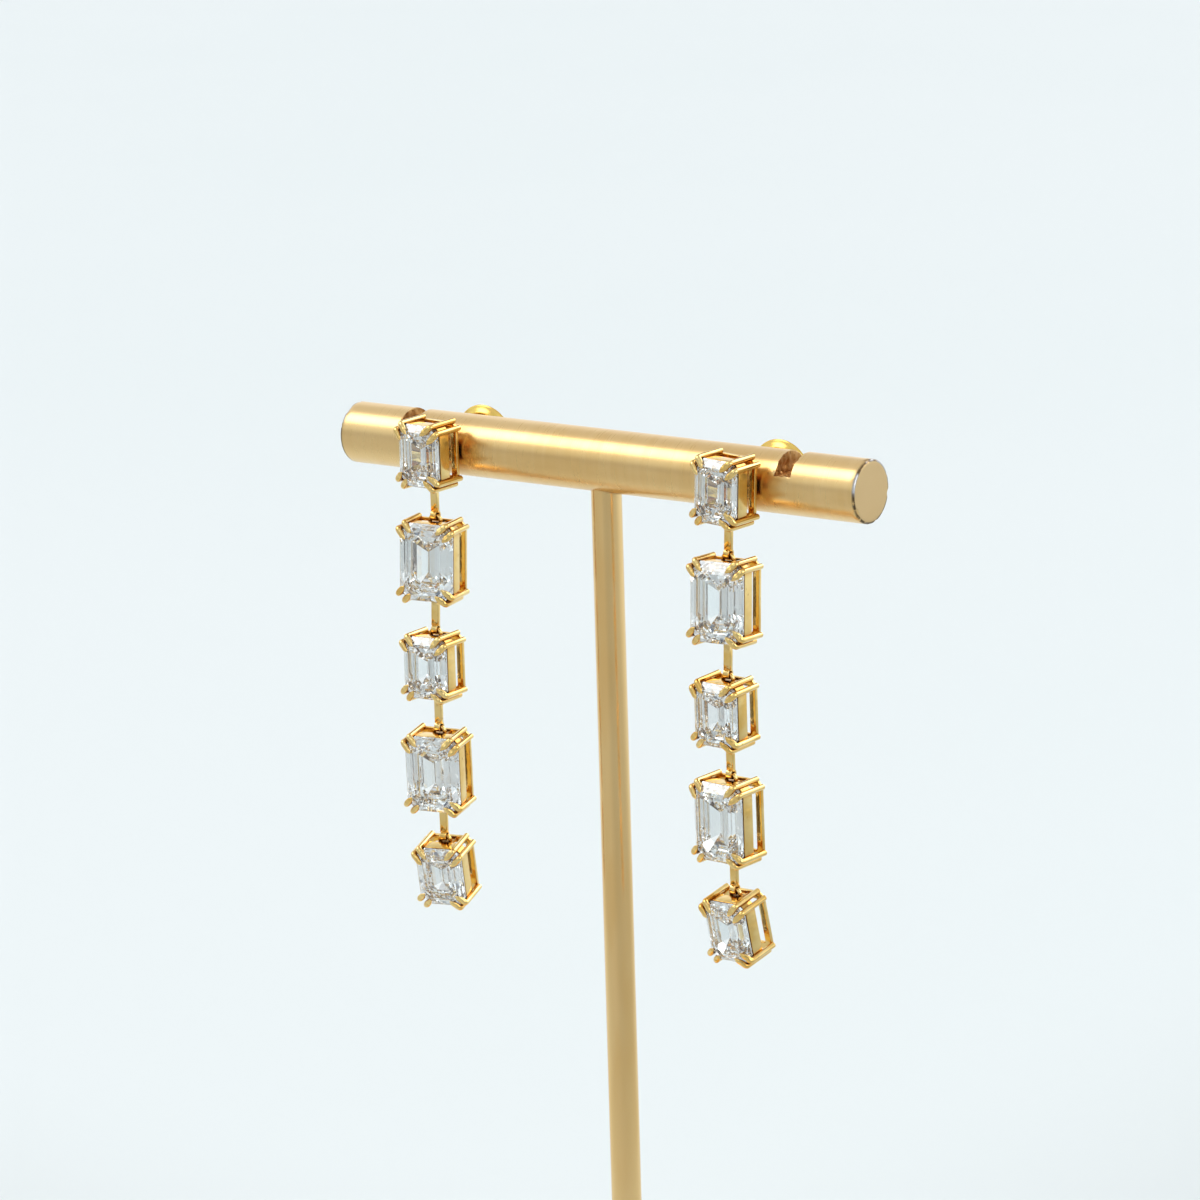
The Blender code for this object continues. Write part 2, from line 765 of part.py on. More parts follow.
make_stand()
small_basket = basket_mesh("small_basket", SMALL, True, True, False)
large_basket = basket_mesh("large_basket", LARGE, True, True, False)
basket_meshes = (
    basket_mesh("top_basket", SMALL, False, True, True),
    large_basket,
    small_basket,
    large_basket,
    basket_mesh("last_basket", SMALL, True, False, False),
)
stone_meshes = {SMALL: step_cut("small_stone", SMALL), LARGE: step_cut("large_stone", LARGE)}
for stone_mesh in stone_meshes.values():
    stone_mesh.materials.append(diamond)
clutch_shape = clutch_mesh("clutch", SMALL)
for pair_half in EARRINGS:
    make_earring(pair_half, basket_meshes, stone_meshes, clutch_shape)
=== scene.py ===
"""A pair of dangle earrings on a T-bar stand, in a pale studio.

Shapes are drawn in millimetres, in the row's frame: X runs along the bar, -Y is the front, where
the stones face, and Z is up. Each setting is drawn in its own frame, which is found from its stone.
"""

import math

import bmesh
import bpy
import numpy as np
from mathutils import Matrix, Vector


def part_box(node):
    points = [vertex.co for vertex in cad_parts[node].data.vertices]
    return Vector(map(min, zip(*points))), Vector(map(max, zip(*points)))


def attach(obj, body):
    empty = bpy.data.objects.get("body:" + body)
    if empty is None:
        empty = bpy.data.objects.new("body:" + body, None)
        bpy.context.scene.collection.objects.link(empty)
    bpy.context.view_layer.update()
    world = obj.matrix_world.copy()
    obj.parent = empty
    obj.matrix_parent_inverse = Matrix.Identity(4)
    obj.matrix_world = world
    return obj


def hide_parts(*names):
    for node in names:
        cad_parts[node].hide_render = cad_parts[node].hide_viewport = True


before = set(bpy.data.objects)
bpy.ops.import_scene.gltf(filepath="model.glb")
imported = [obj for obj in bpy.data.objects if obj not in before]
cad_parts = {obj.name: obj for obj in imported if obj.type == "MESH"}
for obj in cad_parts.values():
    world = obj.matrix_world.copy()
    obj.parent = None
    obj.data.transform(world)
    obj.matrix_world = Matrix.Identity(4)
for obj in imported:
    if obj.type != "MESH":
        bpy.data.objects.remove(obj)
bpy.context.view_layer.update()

# Stand bar
# A round brass rod, plated in satin gold and brushed round its girth. Its top is sawn across
# near each end, its rims are chipped, and the sawn faces are left rough and brown. Brown shade is
# painted in its seams, and orange-brown shade and reflection are painted beside the baskets.
MM = 0.001
BAR_SIDES = 144
PLAIN_MIDDLE = 36
GROOVE_FROM_MIDDLE = 21.95
GROOVE_WIDTH = 1.86
GROOVE_FLOOR_ABOVE_AXIS = 1.1
GROOVE_LEAD = 0.25
RIM_WEAR = 0.13
RIM_CHIPS = 0.1
CHIP_WAVES = 26
FACE_BAND = 0.45
RIM_SHOULDER = 0.6
SAW_ROUGHNESS = 0.035
SAW_HEIGHT_WAVES = 40
SAW_EDGE_WAVES = 30
WORN_ALONG = (0.32, 0.06)
WORN_ACROSS = (0.26, 0.12)
SEAM_REACH = 0.5
BASKET_REACH = 2.4
SATIN_GOLD = (0.88, 0.62, 0.29, 1.0)
SATIN_DEEP = (0.82, 0.54, 0.22, 1.0)
SAWN_BROWN = (0.50, 0.28, 0.11, 1.0)
SAW_SPECKS = (0.10, 0.05, 0.02, 1.0)
WORN_BROWN = (0.13, 0.09, 0.05, 1.0)
WORN_STEEL = (0.52, 0.52, 0.53, 1.0)
# Painted shade, brown, in the seams where parts meet.
SEAM_SHADE_BROWN = (0.30, 0.13, 0.04, 1.0)
# Painted shade and reflection of the baskets on the bar.
BASKET_SHADE_BROWN = (0.50, 0.24, 0.06, 1.0)
FACE_GOLD = (0.60, 0.45, 0.25, 1.0)

bar_low, bar_high = (np.array(corner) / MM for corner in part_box("stand_bar"))
bar_radius = (bar_high[1] - bar_low[1]) / 2
bar_half = (bar_high[0] - bar_low[0]) / 2
bar_height = bar_low[2] + bar_radius


class Signal:
    """An output socket in a node tree. Arithmetic on signals adds Math nodes."""

    def __init__(self, tree, socket=None):
        self.tree = tree
        self.socket = socket

    def make(self, kind, settings, inputs, output=0):
        """Adds a node: its settings first, then a value or a signal for each of its inputs."""
        node = self.tree.nodes.new("ShaderNode" + kind)
        for name, value in settings.items():
            setattr(node, name, value)
        for key, value in inputs.items():
            if isinstance(value, Signal):
                self.tree.links.new(value.socket, node.inputs[key])
            else:
                node.inputs[key].default_value = value
        return Signal(self.tree, node.outputs[output])

    def maths(self, operation, first, second=0.0):
        return self.make("Math", {"operation": operation}, {0: first, 1: second})

    def __add__(self, other):
        return self.maths("ADD", self, other)

    def __sub__(self, other):
        return self.maths("SUBTRACT", self, other)

    def __rsub__(self, other):
        return self.maths("SUBTRACT", other, self)

    def __mul__(self, other):
        return self.maths("MULTIPLY", self, other)

    def __pow__(self, other):
        return self.maths("POWER", self, other)

    def __abs__(self):
        return self.maths("ABSOLUTE", self)

    __radd__ = __add__
    __rmul__ = __mul__

    def between(self, low, high):
        """Nought below low, one above high, and a smooth step between them."""
        return self.make(
            "MapRange",
            {"interpolation_type": "SMOOTHSTEP"},
            {"Value": self, "From Min": low, "From Max": high},
        )

    def blend(self, first, second):
        """The first colour where this signal is nought, and the second where it is one."""
        return self.make("Mix", {"data_type": "RGBA"}, {0: self, 6: first, 7: second}, 2)

    def noise(self, scale, detail=3.0):
        """Noise over this vector, stretched by a scale for each axis, in waves to the metre."""
        place = self.make("VectorMath", {"operation": "MULTIPLY"}, {0: self, 1: scale})
        return self.make("TexNoise", {}, {"Vector": place, "Scale": 1.0, "Detail": detail})

    def openness(self, reach):
        """One where nothing stands within this reach in millimetres, and nought in a closed crevice."""
        settings, inputs = {"samples": 6}, {"Distance": reach * MM}
        return self.make("AmbientOcclusion", settings, inputs, "AO")

    def axes(self):
        """The three parts of this vector."""
        parts = self.make("SeparateXYZ", {}, {0: self})
        return [Signal(self.tree, socket) for socket in parts.socket.node.outputs]


def new_material(name, **constants):
    """A material, its shader with these constant inputs, its Object coordinates and its shader node."""
    made = bpy.data.materials.new(name)
    made.use_nodes = True
    shader = made.node_tree.nodes["Principled BSDF"]
    for key, value in constants.items():
        shader.inputs[key.replace("_", " ")].default_value = value
    place = Signal(made.node_tree).make("TexCoord", {}, {}, "Object")
    return made, shader, place


def feed(shader, name, signal):
    """Links a signal to one of a shader's inputs."""
    signal.tree.links.new(signal.socket, shader.inputs[name])


def bumped(height, strength, distance):
    """The normal that a height signal gives, with the distance in millimetres."""
    return height.make(
        "Bump", {}, {"Height": height, "Strength": strength, "Distance": distance * MM}
    )


def wobble(turns, strength, waves, seed):
    """Smooth noise round a circle: a sum of cosines with random phases, whose heights fall as the
    square root of their count of waves."""
    chance = np.random.default_rng(seed)
    counts = np.arange(1, waves + 1)
    phases = chance.uniform(0, 2 * math.pi, waves)
    heights = chance.normal(0, 1, waves) / np.sqrt(counts)
    return strength * (heights * np.cos(np.outer(turns, counts) + phases)).sum(axis=1)


def skin(rings, looped=False):
    """(points, four-sided faces, end faces) of a skin through rings of equally many points. A looped
    skin's last ring meets its first; any other is closed by a face at each end."""
    rings = np.asarray(rings, float)
    index = np.arange(rings.shape[0] * rings.shape[1]).reshape(rings.shape[:2])
    near = index if looped else index[:-1]
    far = np.roll(index, -1, axis=0) if looped else index[1:]
    quads = np.stack([near, np.roll(near, -1, 1), np.roll(far, -1, 1), far], axis=-1)
    return rings.reshape(-1, 3), quads.reshape(-1, 4), [] if looped else [index[0], index[-1]]


def piece(name, shapes, material, body, replaced, crease=40):
    """One visible piece from closed skins in millimetres. It rides on a body, stands for one CAD
    node, and has sharp edges where its faces meet at more than the crease angle."""
    counts = np.cumsum([0] + [len(points) for points, _, _ in shapes])
    points = np.concatenate([points for points, _, _ in shapes]) * MM
    faces = np.concatenate([quads + start for (_, quads, _), start in zip(shapes, counts)])
    ends = [end + start for (_, _, caps), start in zip(shapes, counts) for end in caps]
    mesh = bpy.data.meshes.new(name)
    mesh.from_pydata(points.tolist(), [], faces.tolist() + [end.tolist() for end in ends])
    form = bmesh.new()
    form.from_mesh(mesh)
    bmesh.ops.recalc_face_normals(form, faces=form.faces)
    form.to_mesh(mesh)
    form.free()
    mesh.shade_smooth()
    mesh.set_sharp_from_angle(angle=math.radians(crease))
    mesh.materials.append(material)
    thing = bpy.data.objects.new(name, mesh)
    bpy.context.scene.collection.objects.link(thing)
    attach(thing, body)
    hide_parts(replaced)
    return thing


def bar_rings():
    """The bar's rings from end to end. A sawn ring's points above the groove's floor are lowered
    to it by a share from nought to one, and shaken, which leaves the ragged edge."""
    sawn_to = math.acos(GROOVE_FLOOR_ABOVE_AXIS / bar_radius)
    even = np.linspace(-math.pi, math.pi, BAR_SIDES, endpoint=False)
    turns = np.unique(np.concatenate([even, [-sawn_to, sawn_to]]))
    top = bar_radius * np.cos(turns) > GROOVE_FLOOR_ABOVE_AXIS
    rings = []

    def ring(along, radius=bar_radius, lowered=None):
        along = along + np.zeros_like(turns)
        height = radius * np.cos(turns)
        if lowered is not None:
            seed = len(rings)
            height = height - lowered * np.maximum(height - GROOVE_FLOOR_ABOVE_AXIS, 0)
            shaken = wobble(turns, SAW_ROUGHNESS, SAW_HEIGHT_WAVES, seed)
            height = height + top * lowered * shaken
            along = along + top * wobble(turns, SAW_ROUGHNESS, SAW_EDGE_WAVES, seed + 500)
        across = -radius * np.sin(turns)
        rings.append(np.stack([along, across, height + bar_height], axis=1))

    for side, seed in ((-1, 3), (1, 8)):
        chips = np.maximum(wobble(turns, RIM_CHIPS, CHIP_WAVES, seed) - 0.5 * RIM_CHIPS, 0)
        worn = RIM_WEAR + np.minimum(chips, 3 * RIM_CHIPS)
        end = side * bar_half
        rim = [
            (end, 0.3 * bar_radius),
            (end, bar_radius - FACE_BAND),
            (end, bar_radius - worn),
            (end - side * 0.3 * worn, bar_radius - 0.3 * worn),
            (end - side * worn, bar_radius),
            (end - side * RIM_SHOULDER, bar_radius),
        ]
        if side > 0:
            for along in np.linspace(-PLAIN_MIDDLE / 2, PLAIN_MIDDLE / 2, PLAIN_MIDDLE + 1):
                ring(along)
            saw_groove(ring, GROOVE_FROM_MIDDLE)
        for along, radius in rim if side < 0 else rim[::-1]:
            ring(along, radius)
        if side < 0:
            saw_groove(ring, -GROOVE_FROM_MIDDLE)
    return rings


def saw_groove(ring, middle):
    """The rings down one wall of a groove, along its floor, and up the other wall."""
    half = GROOVE_WIDTH / 2
    steps = np.linspace(0, 1, 7)
    ring(middle - half - GROOVE_LEAD)
    for step in steps:
        ring(middle - half, lowered=step)
    for along in np.linspace(-half, half, 12)[1:-1]:
        ring(middle + along, lowered=1.0)
    for step in steps[::-1]:
        ring(middle + half, lowered=step)
    ring(middle + half + GROOVE_LEAD)


satin, satin_shader, place = new_material("satin_gold_bar", Metallic=1.0)
along, across, up = place.axes()
from_axis = ((across * across) + (up - bar_height * MM) * (up - bar_height * MM)) ** 0.5
fine_brush = place.noise((9000, 260, 260))
broad_brush = place.noise((1300, 120, 120))
clouds = place.noise((90, 160, 160))
fine_grain = place.noise((6500, 6500, 6500), 2.0)
inside = (bar_radius * MM - from_axis).between(0.05 * MM, 0.12 * MM)
face = abs(along).between((bar_half - 0.03) * MM, (bar_half - 0.01) * MM)
worn_along = [(bar_half - inset) * MM for inset in WORN_ALONG]
worn_across = [(bar_radius - inset) * MM for inset in WORN_ACROSS]
rim_line = abs(along).between(*worn_along) * from_axis.between(*worn_across)
chip_noise = place.noise((1500, 1500, 1500))
broad_chips = place.noise((420, 420, 420), 2.0)
sawn = inside * (1.0 - abs(along).between((bar_half - 1.0) * MM, (bar_half - 0.9) * MM))
colour = (clouds * 0.7 + broad_brush * 0.3).between(0.35, 0.7).blend(SATIN_GOLD, SATIN_DEEP)
colour = (face * 0.7).blend(colour, FACE_GOLD)
colour = (rim_line * chip_noise.between(0.3, 0.44)).blend(colour, WORN_BROWN)
colour = (rim_line * broad_chips.between(0.5, 0.6)).blend(colour, WORN_STEEL)
saw_stains = place.noise((2600, 2600, 2600))
colour = (sawn * 0.75).blend(colour, SAWN_BROWN)
colour = (sawn * saw_stains.between(0.56, 0.64)).blend(colour, SAW_SPECKS)
# Painted shade and reflection: the bar turns orange-brown within a few millimetres of the baskets.
basket_shade = 1.0 - place.openness(BASKET_REACH).between(0.5, 1.0)
colour = (basket_shade * 0.85).blend(colour, BASKET_SHADE_BROWN)
# Painted shade: brown in the seams, where other parts meet the bar.
seam_shade = 1.0 - place.openness(SEAM_REACH).between(0.35, 0.8)
feed(satin_shader, "Base Color", seam_shade.blend(colour, SEAM_SHADE_BROWN))
feed(satin_shader, "Roughness", 0.26 + fine_brush * 0.04 + face * 0.2 + sawn * 0.2)
height = fine_brush * 0.12 + broad_brush * 0.1 + fine_grain * (0.35 + face * 0.6 + sawn * 2.0)
feed(satin_shader, "Normal", bumped(height, 0.13, 0.02))
piece(
    "bar_satin", [skin(bar_rings())], satin, "stand_and_studs", "stand_bar", 50
)

# Stand stem
# A thinner rod of the same satin gold, which stands in a socket in the bar and one in the foot,
# with brown shade painted in both seams.
STEM_SIDES = 96
stem_low, stem_high = (np.array(corner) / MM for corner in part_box("stand_stem"))
stem_radius = (stem_high[0] - stem_low[0]) / 2


def lathe(profile, sides):
    """Rings round Z from rows of (radius, height)."""
    turns = np.linspace(0, 2 * math.pi, sides, endpoint=False)
    round_it = np.stack([np.cos(turns), np.sin(turns)], axis=1)
    profile = np.asarray(profile, float)
    rings = np.zeros((len(profile), sides, 3))
    rings[:, :, :2] = profile[:, None, :1] * round_it
    rings[:, :, 2] = profile[:, 1:]
    return rings


stem_metal, stem_shader, place = new_material("satin_gold_stem", Metallic=1.0)
draw_lines = place.noise((2600, 2600, 40))
clouds = place.noise((300, 300, 60))
grain = place.noise((6000, 6000, 6000), 2.0)
colour = clouds.between(0.35, 0.7).blend(SATIN_GOLD, SATIN_DEEP)
# Painted shade: brown in the seams, where the stem meets the bar and the foot.
seam_shade = 1.0 - place.openness(SEAM_REACH).between(0.35, 0.8)
feed(stem_shader, "Base Color", seam_shade.blend(colour, SEAM_SHADE_BROWN))
feed(stem_shader, "Roughness", 0.17 + draw_lines * 0.1)
feed(stem_shader, "Normal", bumped(draw_lines * 0.4 + grain * 0.3, 0.2, 0.02))
stem_rows = [(stem_radius, height) for height in np.linspace(stem_low[2], stem_high[2], 40)]
piece(
    "stem_satin",
    [skin(lathe(stem_rows, STEM_SIDES))],
    stem_metal,
    "stand_and_studs",
    "stand_stem",
)

# Stand foot
# A turned steel disc plated in satin gold, with a rounded rim and rings left by the lathe. The
# photo doesn't show it, so it is plain.
FOOT_SIDES = 192
FOOT_EDGE = 0.8
FOOT_MIDDLE = 0.5
SOCKET_GAP = 0.05
SOCKET_EDGE = 0.08
SOCKET_FLOOR = 1.5
foot_low, foot_high = (np.array(corner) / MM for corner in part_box("stand_base"))
foot_radius = (foot_high[0] - foot_low[0]) / 2
foot_top = foot_high[2]

foot_metal, foot_shader, place = new_material("satin_gold_foot", Metallic=1.0)
across_x, across_y, _ = place.axes()
from_middle = (across_x * across_x + across_y * across_y) ** 0.5
ring_place = from_middle.make("CombineXYZ", {}, {0: from_middle})
turned = ring_place.noise((4200, 1, 1))
clouds = place.noise((70, 70, 70))
feed(foot_shader, "Base Color", clouds.between(0.3, 0.7).blend(SATIN_GOLD, SATIN_DEEP))
feed(foot_shader, "Roughness", 0.26 + turned * 0.12)
feed(foot_shader, "Normal", bumped(turned, 0.25, 0.02))
bend = np.linspace(0, math.pi / 2, 7)
under = [
    (foot_radius - FOOT_EDGE * (1 - math.sin(turn)), FOOT_EDGE * (1 - math.cos(turn)))
    for turn in bend
]
over = [(radius, foot_top - height) for radius, height in under[::-1]]
socket = stem_radius + SOCKET_GAP
mouth = [(socket + SOCKET_EDGE, foot_top), (socket, foot_top - SOCKET_EDGE)]
floor_rows = [(socket, SOCKET_FLOOR), (FOOT_MIDDLE, SOCKET_FLOOR)]
foot_rows = [(FOOT_MIDDLE, 0.0), *under, *over, *mouth, *floor_rows]
piece(
    "foot_satin",
    [skin(lathe(foot_rows, FOOT_SIDES))],
    foot_metal,
    "stand_and_studs",
    "stand_base",
)

# Stones
# Ten step-cut diamonds: three rows of steps in front round a table, a thin girdle, and three rows
# behind that run to a keel. The cutter left each a little out of true.
GIRDLE = 0.12
TABLE_SHARE = 0.62
CROWN_INWARDS = np.array([0.0, 0.38, 0.7, 1.0])
CROWN_DEEP = np.array([0.0, 0.46, 0.79, 1.0])
PAVILION_INWARDS = np.array([0.0, 0.3, 0.62, 1.0])
PAVILION_DEEP = np.array([0.0, 0.4, 0.74, 1.0])
CUT_ERROR = 0.012
DIAMOND_INDEX = 2.42
CLEAR_ICE = (0.95, 0.995, 1.0, 1.0)
HAZY_ICE = (0.89, 0.97, 0.99, 1.0)
# A cut corner gets this much shorter when its outline is drawn in by one all round.
CORNER_SHRINK = 2 - math.sqrt(2)


class Setting:
    """A setting's frame and its stone's sizes, from the points of its CAD stone: the stone is
    longest along Z, then X, then Y, and widest at its girdle."""

    def __init__(self, side, number):
        self.side = side
        self.number = number
        self.body = "stand_and_studs" if number == 1 else f"{side}_drop_{number}"
        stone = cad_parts[f"{side}_stone_{number}"]
        points = np.zeros(len(stone.data.vertices) * 3)
        stone.data.vertices.foreach_get("co", points)
        points = np.unique(np.round(points.reshape(-1, 3) / MM, 4), axis=0)
        middle = points.mean(axis=0)
        _, lines = np.linalg.eigh(np.cov((points - middle).T))
        up = lines[:, 2] * np.sign(lines[2, 2])
        right = lines[:, 1] * np.sign(lines[0, 1])
        self.axes = np.stack([right, np.cross(up, right), up], axis=1)
        local = (points - middle) @ self.axes
        low, high = local.min(axis=0), local.max(axis=0)
        self.half_width, _, self.half_height = (high - low) / 2
        rim = local[np.abs(local[:, 0] - (low[0] + high[0]) / 2) > self.half_width - 0.01]
        centre = np.array([(low[0] + high[0]) / 2, rim[:, 1].mean(), (low[2] + high[2]) / 2])
        self.origin = middle + self.axes @ centre
        self.corner = self.half_height - np.abs(rim[:, 2] - centre[2]).max()
        self.crown = centre[1] - low[1] - GIRDLE / 2
        self.pavilion = high[1] - centre[1] - GIRDLE / 2
        self.border = self.half_width * (1 - TABLE_SHARE)

    def placed(self, shape):
        """A skin drawn in this setting's frame, moved to its place."""
        points, quads, ends = shape
        return points @ self.axes.T + self.origin, quads, ends


def cut_corners(half_width, half_height, corner):
    """The eight corners of an upright rectangle with cut corners, as (x, z)."""
    flat, tall = half_width - corner, half_height - corner
    return np.array(
        [
            (half_width, -tall),
            (half_width, tall),
            (flat, half_height),
            (-flat, half_height),
            (-half_width, tall),
            (-half_width, -tall),
            (-flat, -half_height),
            (flat, -half_height),
        ]
    )


def standing(outline, depth):
    """Points (x, z) stood up in a setting's frame, at this depth behind its girdle."""
    return np.insert(np.asarray(outline, float), 1, depth, axis=1)


def step_cut(setting, seed):
    """A stone's skin: each ring lies a share of the way from the girdle to the table or the keel."""
    chance = np.random.default_rng(seed)
    girdle = cut_corners(setting.half_width, setting.half_height, setting.corner)
    table = cut_corners(
        setting.half_width - setting.border,
        setting.half_height - setting.border,
        setting.corner - setting.border * CORNER_SHRINK,
    )
    keel_half = setting.half_height - setting.half_width
    keel = np.stack([0.015 * np.sign(girdle[:, 0]), keel_half * np.sign(girdle[:, 1])], axis=1)
    rings = []
    for inwards, deep in zip(CROWN_INWARDS[::-1], CROWN_DEEP[::-1]):
        depth = -GIRDLE / 2 - deep * setting.crown
        shift = chance.normal(0, CUT_ERROR, 2) * (inwards > 0)
        rings.append(standing(girdle + (table - girdle) * inwards + shift, depth))
    for inwards, deep in zip(PAVILION_INWARDS, PAVILION_DEEP):
        depth = GIRDLE / 2 + deep * setting.pavilion
        shift = chance.normal(0, CUT_ERROR, 2) * (0 < inwards < 1)
        rings.append(standing(girdle + (keel - girdle) * inwards + shift, depth))
    return skin(rings)


stone_glass, stone_shader, place = new_material(
    "diamond_stone",
    Roughness=0.0,
    IOR=DIAMOND_INDEX,
    Transmission_Weight=1.0,
)
haze = place.noise((260, 260, 260), 1.0)
feed(stone_shader, "Base Color", haze.between(0.4, 0.65).blend(CLEAR_ICE, HAZY_ICE))
settings = [Setting(side, number) for side in ("right", "left") for number in range(1, 6)]
for seed, setting in enumerate(settings):
    name = f"{setting.side}_stone_{setting.number}"
    piece(
        f"gem_{setting.side}_{setting.number}",
        [setting.placed(step_cut(setting, seed))],
        stone_glass,
        setting.body,
        name,
        1,
    )

# Baskets
# Yellow gold claw settings, each soldered from wire and sheet: a rail under the girdle, a frame
# behind it, and eight rods in pairs whose ends are bent over the stone and filed to points. Where
# the gold is closed in, shade and its own bounced light are painted on it in orange, and in the
# crevices a dark brown that is partly patina and partly painted shade.
ROD_RADIUS = 0.28
ROD_SIDES = 18
ROD_OUTSIDE_EDGE = 0.05
STONE_GAP = 0.03
CAD_STONE_GAP = 0.08
CLAW_REACH = 1.24
CLAW_SHARE = np.array([-0.06, 0.0, 0.16, 0.42, 0.72, 1.0])
CLAW_THICKNESS = np.array([1.0, 1.0, 1.0, 0.8, 0.56, 0.16])
CLAW_WIDTH = np.array([1.0, 1.02, 1.14, 1.2, 1.0, 0.22])
CLAW_FIRST_RISE = (0.1, 0.72)
CLAW_REACH_SPREAD = (0.92, 1.06)
CLAW_LEAN_SPREAD = 0.05
RAIL_BEHIND_GIRDLE = 0.22
RAIL_DEPTH = 1.36
RAIL_INSIDE_EDGE = 0.04
RAIL_CORNER = 0.55
RAIL_WALL = 1.15
RAIL_LIP_ADDED = 0.1
FRAME_BEHIND_GIRDLE = {1: 2.75, 2: 3.0, 3: 3.0, 4: 3.0, 5: 3.0}
ROD_REAR = 3.12
FRAME_DEPTH = 0.37
FRAME_WALL = 0.72
EDGE = 0.07
OUTLINE_EDGE = 0.1
SOLDERED_IN = 0.1
STRAP_HALF_WIDTH = 0.39
STRAP_HALF_THICKNESS = 0.24
STRAP_EDGE = 0.1
LINK_BEHIND_GIRDLE = 2.06
HINGE_BELOW_STONE = 3.15
HINGE_ABOVE_STONE = 0.5
ARCH_WIRE = 0.2
STRAP_ABOVE_HINGE = 0.26
ARCH_RADIUS = 0.55
ARCH_SIDES = 14
EYE_HALF_THICKNESS = 0.28
EYE_HOLE = 0.28
EYE_RADIUS = 0.52
EYE_EDGE = 0.06
EYE_SIDES = 28
BRIDGE_HEIGHT = 0.35
BRIDGE_INSIDE_EDGE = 0.2
BRIDGE_SHOULDER = 0.06
CROSSPIECE_HALF = 0.55
CROSSPIECE_SUNK = 0.05
POST_RADIUS = 0.4
POST_SIDES = 28
POST_BELOW_MIDDLE = 0.35
POST_NOTCH_RADIUS = 0.36
POST_NOTCH_FROM_END = (0.5, 0.44, 0.36, 0.3)
POST_TIP_RADIUS = 0.3
POST_TIP_LENGTH = 0.12
BAR_BEHIND_GIRDLE = 3.27
CLUTCH_GAP = 0.3
CLUTCH_DEPTH = 0.4
ROLL_RADIUS = 0.9
POST_PAST_CLUTCH = 0.9
YELLOW_GOLD = (0.93, 0.69, 0.29, 1.0)
WARM_GOLD = (0.85, 0.54, 0.15, 1.0)
# Painted shade and bounced light, where the gold is partly closed in.
HOLLOW_SHADE_ORANGE = (0.74, 0.37, 0.07, 1.0)
# Partly patina and partly painted shade: the dark brown of crevices and pits.
CREVICE_PATINA_AND_SHADE = (0.12, 0.05, 0.01, 1.0)
CREVICE_REACH = 0.55


def rounded(outline, reach, steps=4):
    """A closed outline whose corners become short curves: each is the quadratic curve that leaves
    one edge and meets the next at this reach from the corner, drawn towards the corner."""
    corners = np.asarray(outline, float)
    before = np.roll(corners, 1, axis=0) - corners
    after = np.roll(corners, -1, axis=0) - corners
    start = corners + before / np.linalg.norm(before, axis=1, keepdims=True) * reach
    end = corners + after / np.linalg.norm(after, axis=1, keepdims=True) * reach
    share = np.linspace(0, 1, steps)[None, :, None]
    curve = (
        (1 - share) ** 2 * start[:, None]
        + 2 * share * (1 - share) * corners[:, None]
        + share**2 * end[:, None]
    )
    return curve.reshape(-1, corners.shape[1])


def softened(path, times=3):
    """An open path with its corners cut off this many times, a quarter of each step at a time."""
    for _ in range(times):
        near, far = path[:-1], path[1:]
        cut = np.stack([0.75 * near + 0.25 * far, 0.25 * near + 0.75 * far], axis=1)
        path = np.concatenate([path[:1], cut.reshape(-1, path.shape[1]), path[-1:]])
    return path


def domed(path, flat=0.3):
    """A path with a dome added before its first point: its rings shrink as the cosine of an angle
    and move ahead as its sine, and it is as deep as this share of the path's radius."""
    ahead = path[0, :3] - path[1, :3]
    ahead /= np.linalg.norm(ahead)
    turns = np.radians([82, 62, 40, 20])
    dome = np.repeat(path[:1], len(turns), axis=0)
    dome[:, :3] += ahead * (flat * path[0, 3] * np.sin(turns))[:, None]
    dome[:, 3:] *= np.cos(turns)[:, None]
    return np.concatenate([dome, path])


def tube(path, plane_normal, sides=ROD_SIDES):
    """A tube along a flat path. A row is x, y, z, half the thickness in the path's plane, and half
    the width across it."""
    along = np.gradient(path[:, :3], axis=0)
    along /= np.linalg.norm(along, axis=1, keepdims=True)
    normal = np.asarray(plane_normal, float) / np.linalg.norm(plane_normal)
    inwards = np.cross(along, normal)
    turns = np.linspace(0, 2 * math.pi, sides, endpoint=False)[None, :, None]
    rings = (
        path[:, None, :3]
        + np.cos(turns) * inwards[:, None] * path[:, 3, None, None]
        + np.sin(turns) * normal * path[:, 4, None, None]
    )
    return skin(rings)


def block(low, high, edge=EDGE):
    """An upright box with rounded edges between its lowest and its highest corner."""
    low, high = np.asarray(low, float), np.asarray(high, float)
    rings = []
    for height, inset in (
        (low[2], edge),
        (low[2] + 0.3 * edge, 0.3 * edge),
        (low[2] + edge, 0.0),
        (high[2] - edge, 0.0),
        (high[2] - 0.3 * edge, 0.3 * edge),
        (high[2], edge),
    ):
        x0, y0 = low[:2] + inset
        x1, y1 = high[:2] - inset
        outline = rounded([(x0, y0), (x1, y0), (x1, y1), (x0, y1)], edge)
        rings.append(np.insert(outline, 2, height, axis=1))
    return skin(rings)


def band(setting, profile):
    """A frame round the basket: a closed profile of (inwards, depth) carried round the outline."""
    rings = []
    for inset, depth in rounded(profile, EDGE):
        inset = inset + RAIL_INSIDE_EDGE
        corner = RAIL_CORNER - (inset - RAIL_INSIDE_EDGE) * CORNER_SHRINK
        outline = cut_corners(setting.half_width - inset, setting.half_height - inset, corner)
        rings.append(standing(rounded(outline, OUTLINE_EDGE), depth))
    return skin(rings, looped=True)


def claw_height(setting, inwards, radius):
    """How far in front of the girdle a claw's middle runs at this distance in from its rod: the
    crown's height there, the claw's radius measured up from the slope, and a gap."""
    inset = np.maximum(inwards - ROD_RADIUS - CAD_STONE_GAP, 0)
    crown = np.interp(inset, CROWN_INWARDS * setting.border, CROWN_DEEP * setting.crown)
    run, rise = CROWN_INWARDS[1] * setting.border, CROWN_DEEP[1] * setting.crown
    return GIRDLE / 2 + crown + radius * math.hypot(run, rise) / run + STONE_GAP


